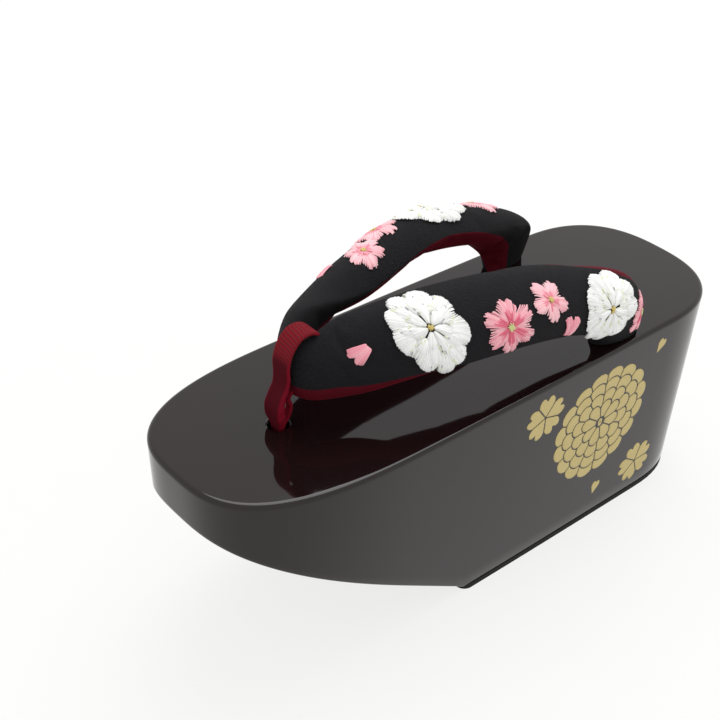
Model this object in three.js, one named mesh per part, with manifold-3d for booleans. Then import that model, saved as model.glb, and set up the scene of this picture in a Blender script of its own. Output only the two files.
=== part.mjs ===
// A lady's geta sandal for the left foot: a lacquered wooden platform with an undercut toe,
// a thin rubber ground sole, two padded straps that meet at the front, and the thong that
// ties them down between the toes.
// Millimetres. +Z is up, the toe points to -Y, and +X is the outer side of the left foot.
import * as THREE from 'three';
import { mergeVertices } from 'three/addons/utils/BufferGeometryUtils.js';
import Module from 'manifold-3d';

const wasm = await Module();
wasm.setup();

// ---------------------------------------------------------------- driving dimensions
const LENGTH = 235;            // toe tip to heel, along the top
const WIDTH_TOE = 80.5;        // full width that the side lines aim at over the toe
const WIDTH_HEEL = 77;         // the same at the heel
const HEIGHT = 83;             // floor to the top face
const TOE_THICKNESS = 17;      // wood left above the undercut at the toe tip
const UNDERCUT_LENGTH = 99;    // toe tip to the front edge of the ground sole
const SOLE_THICKNESS = 2.2;    // rubber
const SOLE_CORNER = 4;         // how round its two front corners are
const CLEARANCE = 0.3;         // between pieces that touch

const TOP = HEIGHT;
const TOE_Y = -LENGTH / 2;
const HEEL_Y = LENGTH / 2;
const WOOD_BOTTOM = SOLE_THICKNESS + CLEARANCE;

// ---------------------------------------------------------------- solids and meshes
function solidOf(geometry) {
  const bare = geometry.clone();
  bare.deleteAttribute('normal');
  bare.deleteAttribute('uv');
  const merged = mergeVertices(bare, 1e-4);
  return new wasm.Manifold(new wasm.Mesh({
    numProp: 3,
    vertProperties: new Float32Array(merged.attributes.position.array),
    triVerts: new Uint32Array(merged.index.array),
  }));
}

function geometryOf(solid) {
  const mesh = solid.getMesh();
  const geometry = new THREE.BufferGeometry();
  geometry.setAttribute('position', new THREE.BufferAttribute(mesh.vertProperties, 3));
  geometry.setIndex(new THREE.BufferAttribute(mesh.triVerts, 1));
  geometry.computeVertexNormals();
  return geometry;
}

// Skins a row of closed rings of equal length, with a flat fan over each end.
function loft(rings) {
  const positions = [];
  const indices = [];
  const count = rings[0].length;
  rings.forEach((ring) => ring.forEach((p) => positions.push(p.x, p.y, p.z)));
  for (let r = 0; r + 1 < rings.length; r += 1) {
    for (let k = 0; k < count; k += 1) {
      const a = r * count + k;
      const b = r * count + (k + 1) % count;
      indices.push(a, b, b + count, a, b + count, a + count);
    }
  }
  [rings[0], rings[rings.length - 1]].forEach((ring, end) => {
    const centre = ring.reduce((sum, p) => sum.add(p), new THREE.Vector3()).divideScalar(count);
    const hub = positions.length / 3;
    const first = end === 0 ? 0 : (rings.length - 1) * count;
    positions.push(centre.x, centre.y, centre.z);
    for (let k = 0; k < count; k += 1) {
      const a = first + k;
      const b = first + (k + 1) % count;
      indices.push(...(end === 0 ? [hub, b, a] : [hub, a, b]));
    }
  });
  const geometry = new THREE.BufferGeometry();
  geometry.setAttribute('position', new THREE.Float32BufferAttribute(positions, 3));
  geometry.setIndex(indices);
  return geometry;
}

function box(low, high) {
  const geometry = new THREE.BoxGeometry(high[0] - low[0], high[1] - low[1], high[2] - low[2]);
  geometry.translate((low[0] + high[0]) / 2, (low[1] + high[1]) / 2, (low[2] + high[2]) / 2);
  return geometry;
}

function upright(radius, x, y, low, high) {
  const geometry = new THREE.CylinderGeometry(radius, radius, high - low, 32);
  geometry.rotateX(Math.PI / 2);
  geometry.translate(x, y, (low + high) / 2);
  return geometry;
}

// Turns a shape drawn as (y, z) and extruded towards the viewer into one extruded along +X.
const SHAPE_TO_SIDE_VIEW = new THREE.Matrix4().set(
  0, 0, 1, 0,
  1, 0, 0, 0,
  0, 1, 0, 0,
  0, 0, 0, 1,
);

// ---------------------------------------------------------------- plan of the platform
// Both ends are quarter super-ellipses, blunt at the toe and rounder at the heel, and the
// sides between them are all but straight.
const TOE_END = { length: 75.5, power: 2.92 };
const HEEL_END = { length: 40, power: 2.55 };
const SIDE_BULGE = 0.9;
const QUARTER_STEPS = 18;
const SIDE_STEPS = 4;

function halfWidth(y) {
  const along = (y - TOE_Y) / LENGTH;
  const straight = THREE.MathUtils.lerp(WIDTH_TOE, WIDTH_HEEL, along) / 2;
  return straight + SIDE_BULGE * 4 * along * (1 - along);
}

// One side of the outline as [share of the half width, y], from the toe tip to the heel.
function sideStations() {
  const stations = [];
  for (let k = 0; k < QUARTER_STEPS; k += 1) {
    const angle = (Math.PI / 2) * (k / QUARTER_STEPS);
    stations.push([
      Math.sin(angle) ** (2 / TOE_END.power),
      TOE_Y + TOE_END.length * (1 - Math.cos(angle) ** (2 / TOE_END.power)),
    ]);
  }
  const sideFrom = TOE_Y + TOE_END.length;
  const sideTo = HEEL_Y - HEEL_END.length;
  for (let k = 0; k < SIDE_STEPS; k += 1) {
    stations.push([1, THREE.MathUtils.lerp(sideFrom, sideTo, k / SIDE_STEPS)]);
  }
  for (let k = 0; k <= QUARTER_STEPS; k += 1) {
    const angle = (Math.PI / 2) * (k / QUARTER_STEPS);
    const share = k === QUARTER_STEPS ? 0 : Math.cos(angle) ** (2 / HEEL_END.power);
    stations.push([share, HEEL_Y - HEEL_END.length * (1 - Math.sin(angle) ** (2 / HEEL_END.power))]);
  }
  return stations;
}

// The whole outline, anticlockwise from above, starting at the toe tip.
const OUTLINE = (() => {
  const side = sideStations().map(([share, y]) => new THREE.Vector2(share * halfWidth(y), y));
  const mirrored = side.slice(1, -1).reverse().map((p) => new THREE.Vector2(-p.x, p.y));
  return [...side, ...mirrored];
})();

function outlineRing(inset, z) {
  return OUTLINE.map((p, k) => {
    const before = OUTLINE[(k + OUTLINE.length - 1) % OUTLINE.length];
    const after = OUTLINE[(k + 1) % OUTLINE.length];
    const run = after.clone().sub(before).normalize();
    return new THREE.Vector3(p.x - run.y * inset, p.y + run.x * inset, z);
  });
}

// ---------------------------------------------------------------- platform
const RIM_RADIUS = 1.6;
const RIM_STEPS = 4;
const WALL_LEAN = 0.045;       // how far the wall draws in for each millimetre down
const FRONT_HOLE = { x: 0, y: -75.8, radius: 3.6 };
const REAR_HOLE = { x: 30, y: 54.5, radius: 4.8, depth: 14 };
const STEM_LENGTH = 12;        // strap end inside a rear hole

function platform() {
  const rings = [];
  rings.push(outlineRing(WALL_LEAN * (TOP - WOOD_BOTTOM), WOOD_BOTTOM));
  for (let k = 0; k <= RIM_STEPS; k += 1) {
    const angle = (Math.PI / 2) * (k / RIM_STEPS);
    const drop = RIM_RADIUS * (1 - Math.sin(angle));
    rings.push(outlineRing(WALL_LEAN * drop + RIM_RADIUS * (1 - Math.cos(angle)), TOP - drop));
  }
  const block = solidOf(loft(rings));
  const wedge = new THREE.Shape();
  const overrun = 10;
  const rise = TOP - TOE_THICKNESS - WOOD_BOTTOM;
  wedge.moveTo(TOE_Y + UNDERCUT_LENGTH, WOOD_BOTTOM);
  wedge.lineTo(TOE_Y - overrun, WOOD_BOTTOM + rise * (1 + overrun / UNDERCUT_LENGTH));
  wedge.lineTo(TOE_Y - overrun, WOOD_BOTTOM - overrun);
  wedge.lineTo(TOE_Y + UNDERCUT_LENGTH, WOOD_BOTTOM - overrun);
  const cutter = new THREE.ExtrudeGeometry(wedge, { depth: 2 * WIDTH_TOE, bevelEnabled: false });
  cutter.translate(0, 0, -WIDTH_TOE);
  cutter.applyMatrix4(SHAPE_TO_SIDE_VIEW);
  let solid = block.subtract(solidOf(cutter));
  solid = solid.subtract(solidOf(upright(FRONT_HOLE.radius, FRONT_HOLE.x, FRONT_HOLE.y, 0, TOP + 5)));
  [-1, 1].forEach((side) => {
    const hole = upright(REAR_HOLE.radius, side * REAR_HOLE.x, REAR_HOLE.y, TOP - REAR_HOLE.depth, TOP + 5);
    solid = solid.subtract(solidOf(hole));
  });
  return geometryOf(solid);
}

// ---------------------------------------------------------------- ground sole
function groundSole() {
  const lean = WALL_LEAN * TOP;
  const slab = solidOf(loft([outlineRing(lean, 0), outlineRing(lean, SOLE_THICKNESS)]));
  const front = TOE_Y + UNDERCUT_LENGTH;
  const [low, high] = [-5, SOLE_THICKNESS + 5];
  let solid = slab.subtract(solidOf(box([-WIDTH_TOE, TOE_Y - 10, low], [WIDTH_TOE, front, high])));
  const across = halfWidth(front) - lean - SOLE_CORNER;
  [-1, 1].forEach((side) => {
    const square = box([across, front - 1, low + 1], [across + 10, front + SOLE_CORNER, high - 1]);
    const round = upright(SOLE_CORNER, across, front + SOLE_CORNER, low, high);
    const corner = solidOf(square).subtract(solidOf(round));
    solid = solid.subtract(side > 0 ? corner : corner.mirror([1, 0, 0]));
  });
  return geometryOf(solid);
}

// ---------------------------------------------------------------- straps
// Each row is one section of a strap, from the thong back to its hole in the platform. The
// outer seam runs along the strap's lower edge and the inner seam along its upper edge, both
// as [across, along, height above the platform]. The crown is how far the padded crepe stands
// out from the line between the seams, and the lining is how far the velvet sags under it.
const OUTER_STRAP = [
  { outerSeam: [-3, -69.5, 9.2], innerSeam: [-2.5, -68.5, 29], crown: 4.2, lining: 2.5 },
  { outerSeam: [4.5, -66, 9.3], innerSeam: [2.1, -65.5, 31], crown: 7.6, lining: 3.5 },
  { outerSeam: [14, -52, 9.8], innerSeam: [1.3, -55.5, 33.5], crown: 8.6, lining: 5 },
  { outerSeam: [28.5, -29, 17.5], innerSeam: [1.8, -29.5, 33], crown: 10.6, lining: 5.5 },
  { outerSeam: [35, -1, 18], innerSeam: [9.5, 7.5, 32], crown: 11, lining: 5.5 },
  { outerSeam: [36, 25, 12.5], innerSeam: [15.5, 36.5, 27.5], crown: 10.5, lining: 5.5 },
  { outerSeam: [33.5, 41, 4.5], innerSeam: [28, 61, 20], crown: 9.5, lining: 5 },
  { outerSeam: [28.5, 42, -2], innerSeam: [33.5, 64.5, -2], crown: 6, lining: 4.5 },
];
const INNER_STRAP = [
  { outerSeam: [-3, -69.5, 13.5], innerSeam: [-2.5, -68.5, 29], crown: 4, lining: 2.5 },
  { outerSeam: [4.5, -66, 12], innerSeam: [4.6, -65.5, 30.5], crown: 6, lining: 3.5 },
  { outerSeam: [17, -51.5, 11], innerSeam: [8.9, -57, 33], crown: 8.5, lining: 4.3 },
  { outerSeam: [31.5, -28, 19.5], innerSeam: [10.7, -30, 29], crown: 10.5, lining: 4.7 },
  { outerSeam: [36.5, 1, 22], innerSeam: [17, 10, 33], crown: 11, lining: 4.7 },
  { outerSeam: [36, 28.5, 19], innerSeam: [16, 40, 26.5], crown: 10.5, lining: 4.7 },
  { outerSeam: [31.5, 44, 8.5], innerSeam: [21.5, 62, 18], crown: 9.5, lining: 4.7 },
  { outerSeam: [27, 47, -2], innerSeam: [31.5, 68, -2], crown: 6.5, lining: 4.5 },
];
const STRAP_SECTIONS = 42;
const SECTION_SIDES = 24;

function mixRows(rows, key, position) {
  const last = rows.length - 1;
  const at = Math.min(Math.floor(position * last), last - 1);
  return THREE.MathUtils.lerp(rows[at][key], rows[at + 1][key], position * last - at);
}

// The sections of one strap. `side` is 1 for the outer strap and -1 for the inner one, and
// `grow` moves the whole skin outwards, for the thong that wraps round it.
function strapSections(rows, side, grow = 0) {
  const seam = (key) => new THREE.CatmullRomCurve3(
    rows.map((row) => new THREE.Vector3(row[key][0], row[key][1], TOP + row[key][2])),
  );
  const outerSeam = seam('outerSeam');
  const innerSeam = seam('innerSeam');
  const middleAt = (position) => outerSeam.getPoint(position).add(innerSeam.getPoint(position)).divideScalar(2);
  const sections = [];
  for (let s = 0; s < STRAP_SECTIONS; s += 1) {
    const position = s / (STRAP_SECTIONS - 1);
    const middle = middleAt(position);
    const ahead = middleAt(Math.min(position + 0.01, 1)).sub(middleAt(Math.max(position - 0.01, 0)));
    const half = innerSeam.getPoint(position).sub(outerSeam.getPoint(position)).divideScalar(2);
    const reach = half.length();
    const outwards = ahead.clone().cross(half).normalize();
    // A grown strap also starts earlier, so that its front end keeps the same clearance.
    if (s === 0) {
      middle.addScaledVector(ahead.normalize(), -grow);
    }
    half.setLength(reach + grow);
    const crown = mixRows(rows, 'crown', position) + grow;
    const lining = mixRows(rows, 'lining', position) + grow;
    const ring = [];
    for (let k = 0; k < SECTION_SIDES; k += 1) {
      const angle = 2 * Math.PI * (k / SECTION_SIDES);
      const depth = Math.sin(angle) * (Math.sin(angle) > 0 ? crown : lining);
      const point = middle.clone().addScaledVector(half, Math.cos(angle)).addScaledVector(outwards, depth);
      ring.push(new THREE.Vector3(side * point.x, point.y, point.z));
    }
    sections.push(side > 0 ? ring : ring.reverse());
  }
  return sections;
}

function strapPair(grow) {
  const outer = solidOf(loft(strapSections(OUTER_STRAP, 1, grow)));
  const inner = solidOf(loft(strapSections(INNER_STRAP, -1, grow)));
  return outer.add(inner);
}

const BIG = 300;

function straps() {
  const seat = box([-BIG, -BIG, -BIG], [BIG, BIG, TOP + CLEARANCE]);
  let solid = strapPair(0).subtract(solidOf(seat));
  [-1, 1].forEach((side) => {
    const radius = REAR_HOLE.radius - CLEARANCE;
    const stem = upright(radius, side * REAR_HOLE.x, REAR_HOLE.y, TOP - STEM_LENGTH, TOP + 4);
    solid = solid.add(solidOf(stem));
  });
  return geometryOf(solid);
}

// ---------------------------------------------------------------- front thong
// The loop is an oval band round the joined straps, and the stem under it is drawn in to a
// waist, swells to a soft bulb on the platform and ends plainly inside the hole.
const LOOP = { y: -67, height: 22.8, halfDepth: 8.8, halfHeight: 12, width: 8.6 };
const STEM_PROFILE = [
  { height: 17, radius: 3.2 },
  { height: 14, radius: 3.5 },
  { height: 10.5, radius: 4.3 },
  { height: 7, radius: 4.7 },
  { height: 4, radius: 4.6 },
  { height: 1.5, radius: 4 },
  { height: 0.3, radius: 3.3 },
];
const STEM_TOP_Y = -72.4;
const STEM_SIDES = 28;
const THONG_DEPTH = 24;        // how far the thong reaches down the hole

function thongLoop() {
  const oval = new THREE.Shape();
  oval.absellipse(LOOP.y, TOP + LOOP.height, LOOP.halfDepth, LOOP.halfHeight, 0, 2 * Math.PI);
  const bevel = 0.8;
  const band = new THREE.ExtrudeGeometry(oval, {
    depth: LOOP.width - 2 * bevel,
    bevelThickness: bevel,
    bevelSize: bevel,
    bevelOffset: -bevel,
    bevelSegments: 3,
    curveSegments: 36,
  });
  band.translate(0, 0, bevel - LOOP.width / 2);
  band.applyMatrix4(SHAPE_TO_SIDE_VIEW);
  return solidOf(band);
}

function thongStem() {
  const rings = [];
  const ring = (y, radius, height) => {
    const points = [];
    for (let k = 0; k < STEM_SIDES; k += 1) {
      const angle = 2 * Math.PI * (k / STEM_SIDES);
      points.push(new THREE.Vector3(Math.cos(angle) * radius, y + Math.sin(angle) * radius, TOP + height));
    }
    return points;
  };
  const upwards = [...STEM_PROFILE].reverse();
  rings.push(ring(FRONT_HOLE.y, upwards[0].radius, -THONG_DEPTH));
  upwards.forEach(({ height, radius }) => {
    const share = height / STEM_PROFILE[0].height;
    rings.push(ring(THREE.MathUtils.lerp(FRONT_HOLE.y, STEM_TOP_Y, share), radius, height));
  });
  return solidOf(loft(rings));
}

function frontThong() {
  const solid = thongLoop().add(thongStem()).subtract(strapPair(CLEARANCE));
  return geometryOf(solid);
}

// ---------------------------------------------------------------- the sandal
const FINISHES = {
  lacquer: { color: 0x140608, roughness: 0.12, metalness: 0 },
  rubber: { color: 0x17161a, roughness: 0.85, metalness: 0 },
  crepe: { color: 0x1c1a1e, roughness: 0.9, metalness: 0 },
  velvet: { color: 0x8a1024, roughness: 0.8, metalness: 0 },
};

const sandal = new THREE.Group();

function addPiece(name, geometry, finish) {
  const piece = new THREE.Mesh(geometry, new THREE.MeshStandardMaterial(FINISHES[finish]));
  piece.name = name;
  sandal.add(piece);
}

addPiece('platform', platform(), 'lacquer');
addPiece('ground_sole', groundSole(), 'rubber');
addPiece('straps', straps(), 'crepe');
addPiece('front_thong', frontThong(), 'velvet');

export default sandal;
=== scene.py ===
# %% [markdown]
# # A lacquered geta with padded, embroidered straps
# A geta is a wooden sandal held on by a thong between the toes. This one is a tall block of
# lacquered wood, cut away under the toe, with a thin rubber ground sole, two padded straps of
# black crepe lined with crimson velvet, and a crimson thong that ties the straps down at the
# front. The CAD model has the true sizes. This lesson builds the looks round it, one piece at a
# time, in the same place and at the same size.

# %% Load the CAD frame
import math
import random

import bmesh
import bpy
import numpy as np
from mathutils import Matrix, Vector


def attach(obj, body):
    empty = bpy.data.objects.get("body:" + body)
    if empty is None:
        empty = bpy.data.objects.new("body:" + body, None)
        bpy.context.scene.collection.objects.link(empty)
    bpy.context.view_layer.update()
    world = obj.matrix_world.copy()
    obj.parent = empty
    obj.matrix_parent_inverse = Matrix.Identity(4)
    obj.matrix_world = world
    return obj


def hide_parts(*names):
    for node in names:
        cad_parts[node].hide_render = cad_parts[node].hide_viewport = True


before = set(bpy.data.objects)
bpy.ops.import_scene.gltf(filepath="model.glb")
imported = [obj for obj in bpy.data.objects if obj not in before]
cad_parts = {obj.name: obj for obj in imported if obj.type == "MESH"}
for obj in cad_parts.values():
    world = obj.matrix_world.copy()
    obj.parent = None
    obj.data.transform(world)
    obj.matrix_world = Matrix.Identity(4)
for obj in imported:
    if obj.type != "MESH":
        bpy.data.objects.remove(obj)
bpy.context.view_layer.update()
MM = 0.001

# %% [markdown]
# ## Camera
# The picture is taken from the toe end and the outer side, from about 35 degrees above. A lens
# of about 70 mm on a full-frame sensor gives the gentle perspective of a product picture. The
# camera's axes are worked out from its azimuth, its pitch and a small roll.

# %% Place the camera
CAMERA_PLACE = Vector((0.28992, -0.29198, 0.36264))
AZIMUTH, PITCH, ROLL = (math.radians(angle) for angle in (49.125, 35.01, 1.98))
SENSOR_WIDTH, LENS = 36, 69.1          # both in millimetres

backward = Vector((
    math.sin(AZIMUTH) * math.cos(PITCH),
    -math.cos(AZIMUTH) * math.cos(PITCH),
    math.sin(PITCH),
))
level = Vector((math.cos(AZIMUTH), math.sin(AZIMUTH), 0))
upward = backward.cross(level)
across = level * math.cos(ROLL) + upward * math.sin(ROLL)
above = upward * math.cos(ROLL) - level * math.sin(ROLL)

camera_data = bpy.data.cameras.new("camera")
camera_data.sensor_width = SENSOR_WIDTH
camera_data.lens = LENS
camera = bpy.data.objects.new("camera", camera_data)
camera.matrix_world = Matrix((
    (across.x, above.x, backward.x, CAMERA_PLACE.x),
    (across.y, above.y, backward.y, CAMERA_PLACE.y),
    (across.z, above.z, backward.z, CAMERA_PLACE.z),
    (0, 0, 0, 1),
))
bpy.context.scene.collection.objects.link(camera)
bpy.context.scene.camera = camera
bpy.context.scene.view_settings.view_transform = "Standard"
print("lens in mm:", camera_data.lens)

# %% [markdown]
# ## Finishes
# Every surface gets a procedural finish. Two small classes keep the node trees readable:
# `Signal` wraps the output of a node, so that plain arithmetic on it adds Math nodes, and
# `Finish` is one material, whose `node` method adds any other node.

# %% Helpers for finishes
class Signal:
    """The output of a node. Arithmetic on it adds Math nodes to its tree."""

    def __init__(self, finish, socket):
        self.finish = finish
        self.socket = socket

    def _math(self, operation, first, second=0.0):
        return self.finish.node("ShaderNodeMath", {"operation": operation}, {0: first, 1: second})

    def __add__(self, other):
        return self._math("ADD", self, other)

    def __radd__(self, other):
        return self._math("ADD", other, self)

    def __sub__(self, other):
        return self._math("SUBTRACT", self, other)

    def __rsub__(self, other):
        return self._math("SUBTRACT", other, self)

    def __mul__(self, other):
        return self._math("MULTIPLY", self, other)

    def __rmul__(self, other):
        return self._math("MULTIPLY", other, self)

    def sine(self):
        return self._math("SINE", self)

    def size(self):
        return self._math("ABSOLUTE", self)

    def limited(self):
        """Held between 0 and 1."""
        return self._math("MINIMUM", self._math("MAXIMUM", self, 0.0), 1.0)


class Finish:
    """A material. Constants go straight on the shader's own sockets."""

    def __init__(self, name, **constants):
        self.material = bpy.data.materials.new(name)
        self.material.use_nodes = True
        self.tree = self.material.node_tree
        self.shader = self.tree.nodes["Principled BSDF"]
        for socket, value in constants.items():
            self.shader.inputs[socket.replace("_", " ")].default_value = value

    def node(self, kind, settings=None, values=None, out=0):
        """Adds a node: its settings first, then its sockets' values or links."""
        made = self.tree.nodes.new(kind)
        for name, value in (settings or {}).items():
            if name == "stops":
                self._set_stops(made.color_ramp, value)
            else:
                setattr(made, name, value)
        for socket, value in (values or {}).items():
            if isinstance(value, Signal):
                self.tree.links.new(value.socket, made.inputs[socket])
            else:
                made.inputs[socket].default_value = value
        return Signal(self, made.outputs[out])

    def _set_stops(self, ramp, stops):
        while len(ramp.elements) < len(stops):
            ramp.elements.new(1)
        for element, (position, colour) in zip(ramp.elements, stops):
            element.position = position
            element.color = colour

    def feed(self, socket, signal):
        self.tree.links.new(signal.socket, self.shader.inputs[socket])

    def blend(self, share, first, second):
        """Mixes two colours by a share."""
        return self.node("ShaderNodeMix", {"data_type": "RGBA"}, {0: share, 6: first, 7: second}, 2)

    def object_place(self):
        """Where a point is on the object, in metres."""
        return self.node("ShaderNodeTexCoord", out=3)

    def cloth_place(self, scale=(1, 1, 1)):
        """The piece's own UV map: millimetres along it, and how far round it."""
        place = self.node("ShaderNodeTexCoord", out=2)
        return self.node("ShaderNodeMapping", None, {"Vector": place, "Scale": scale})

    def noise(self, place, scale, detail=3.0, roughness=0.5):
        return self.node("ShaderNodeTexNoise", None, {
            "Vector": place, "Scale": scale, "Detail": detail, "Roughness": roughness,
        })

    def bump(self, height, distance, strength):
        normal = self.node("ShaderNodeBump", None, {
            "Height": height, "Distance": distance, "Strength": strength,
        })
        self.feed("Normal", normal)


# %% [markdown]
# ## Lacquer, rubber and gold
# Black lacquer is almost black with a breath of maroon, and what shows is mostly the white room
# mirrored in it. Rubber is dull and grainy. The gold is powder sprinkled on wet lacquer, so it
# is matt and finely speckled.

# %% Make the hard finishes
def lacquer_finish():
    finish = Finish("lacquer", Roughness=0.05, IOR=1.42)
    place = finish.object_place()
    cloud = finish.noise(place, 14.0, 2.0)
    finish.feed("Base Color", finish.blend(
        cloud, (0.0095, 0.0042, 0.0045, 1), (0.0075, 0.0032, 0.0034, 1)))
    haze = finish.noise(place, 55.0, 4.0)
    finish.feed("Roughness", 0.035 + haze * 0.03)
    finish.bump(finish.noise(place, 28.0, 2.0), 0.00006, 0.35)
    return finish.material


def rubber_finish():
    finish = Finish("rubber", Roughness=0.8, Specular_IOR_Level=0.2)
    place = finish.object_place()
    grain = finish.noise(place, 900.0, 3.0)
    finish.feed("Base Color", finish.blend(
        grain, (0.008, 0.0078, 0.008, 1), (0.014, 0.0137, 0.0135, 1)))
    finish.feed("Roughness", 0.7 + grain * 0.2)
    finish.bump(grain, 0.0003, 0.5)
    return finish.material


def gold_finish():
    finish = Finish("gold_powder", Roughness=0.55, Metallic=0.15)
    place = finish.object_place()
    speck = finish.noise(place, 2600.0, 2.0)
    wash = finish.noise(place, 240.0, 3.0)
    warm = finish.blend(wash, (0.50, 0.40, 0.155, 1), (0.56, 0.46, 0.20, 1))
    finish.feed("Base Color", finish.blend(speck * 0.5, warm, (0.36, 0.27, 0.09, 1)))
    finish.bump(speck, 0.00006, 0.6)
    return finish.material


LACQUER = lacquer_finish()
RUBBER = rubber_finish()
GOLD = gold_finish()
print("hard finishes:", LACQUER.name, RUBBER.name, GOLD.name)

# %% [markdown]
# ## Crepe and velvet
# The straps are silk crepe, whose tightly twisted threads shrink into a fine crinkle that lies
# across the strap. Its colour follows the crinkle: raised parts lighter and hollows darker, which
# is painted light and shade. The lining is velvet, which is dark face on and glows at a slant. The
# thong is a velvet ribbon with fine ribs over its top. Its bright edges and darker middle are
# painted sheen, its ribs carry painted highlights, and its ribbed top is painted brighter. All
# three read the piece's own UV map, so the crinkle follows the strap round and the ribs follow
# the ribbon.

# %% Make the cloth finishes
RED_SHEEN = (1.0, 0.06, 0.12, 1)
RIB_PITCH, RIB_LEAN = 1.2, 0.22    # millimetres between ribs, and how far they lean
# The ribbed stretch is also the top of the loop, which is painted brighter.
RIB_FROM, RIB_TO = 39.0, 57.0      # where along the ribbon the ribs are
# Across the ribbon the middle stays darker and the edges get painted sheen.
RIBBON_MIDDLE = 15.0               # the middle of the outer face, round the ribbon
RIBBON_HALF = 2.4                  # half the width of the darker middle


def crepe_finish():
    finish = Finish(
        "crepe", Roughness=0.8, Sheen_Weight=0.02, Sheen_Roughness=0.4, Specular_IOR_Level=0.12)
    crinkle = finish.noise(finish.cloth_place((0.9, 2.6, 1)), 1.0, 3.0, 0.6)
    weave = finish.noise(finish.cloth_place((3.4, 3.4, 1)), 1.0, 2.0, 0.6)
    # Painted light and shade: the crinkle's raised parts come out lighter and its hollows darker, from
    # the same field as its bump.
    shade = ((crinkle * 0.7 + weave * 0.3 - 0.5) * 2.2 + 0.5).limited()
    finish.feed("Base Color", finish.blend(
        shade, (0.0035, 0.0032, 0.004, 1), (0.0165, 0.0155, 0.0185, 1)))
    finish.bump(shade, 0.0011, 0.9)
    return finish.material


def velvet_finish():
    finish = Finish(
        "velvet", Roughness=0.7, Sheen_Weight=0.12, Sheen_Roughness=0.3, Sheen_Tint=RED_SHEEN,
        Specular_IOR_Level=0.06)
    pile = finish.noise(finish.cloth_place((5.0, 5.0, 1)), 1.0, 2.0)
    lie = finish.noise(finish.cloth_place((0.22, 0.22, 1)), 1.0, 2.0)
    deep = finish.blend(lie, (0.07, 0.0036, 0.008, 1), (0.105, 0.005, 0.012, 1))
    finish.feed("Base Color", finish.blend(pile * 0.5, deep, (0.04, 0.0014, 0.004, 1)))
    finish.bump(pile, 0.0004, 0.5)
    return finish.material


def ribbon_finish():
    """The thong's velvet: ribbed over its top, with painted sheen making its edges bright and its
    middle darker, painted highlights on its ribs, and a top painted brighter.
    """
    finish = Finish(
        "ribbon", Roughness=0.75, Sheen_Weight=0.12, Sheen_Roughness=0.3, Sheen_Tint=RED_SHEEN,
        Specular_IOR_Level=0.04)
    place = {"Vector": finish.cloth_place()}
    along = finish.node("ShaderNodeSeparateXYZ", None, place, 0)
    lap = finish.node("ShaderNodeSeparateXYZ", None, place, 1)
    wave = ((lap * RIB_LEAN + along) * (2 * math.pi / RIB_PITCH)).sine() * 0.5 + 0.5
    # Along the ribbed top the red is painted brighter: painted light on the top of the loop.
    ribbed_and_lit_share = ((along - RIB_FROM) * 0.3).limited() * ((RIB_TO - along) * 0.5).limited()
    pile = finish.noise(finish.cloth_place((5.0, 5.0, 1)), 1.0, 2.0)
    # Painted sheen: the ribbon's edges are painted brighter than its middle, where velvet glows at a
    # slant.
    edge = (((lap - RIBBON_MIDDLE).size() - RIBBON_HALF) * 0.6).limited()
    sheen_edged_red = finish.blend(edge, (0.06, 0.0025, 0.007, 1), (0.17, 0.0045, 0.015, 1))
    painted_light_red = finish.blend(ribbed_and_lit_share, sheen_edged_red, (0.165, 0.0035, 0.011, 1))
    ribs_and_highlights = wave * ribbed_and_lit_share
    # Painted highlights: the ribs' crests take a pale pinkish colour, as well as their bump.
    finish.feed("Base Color", finish.blend(
        ribs_and_highlights * 0.55 + pile * 0.1, painted_light_red, (0.09, 0.022, 0.022, 1)))
    finish.bump(ribs_and_highlights * 0.8 + pile * 0.2, 0.0003, 0.8)
    return finish.material


CREPE = crepe_finish()
VELVET = velvet_finish()
RIBBON = ribbon_finish()
print("cloth finishes:", CREPE.name, VELVET.name, RIBBON.name)

# %% [markdown]
# ## Shells
# Most pieces here are rows of rings joined by quads. A `Shell` collects points in millimetres
# and faces, and makes one closed mesh in metres, with its faces turned outwards. `sleeve` skins
# the grid of a strap or a ribbon and gives it the UV map that the cloth finishes read.

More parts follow.
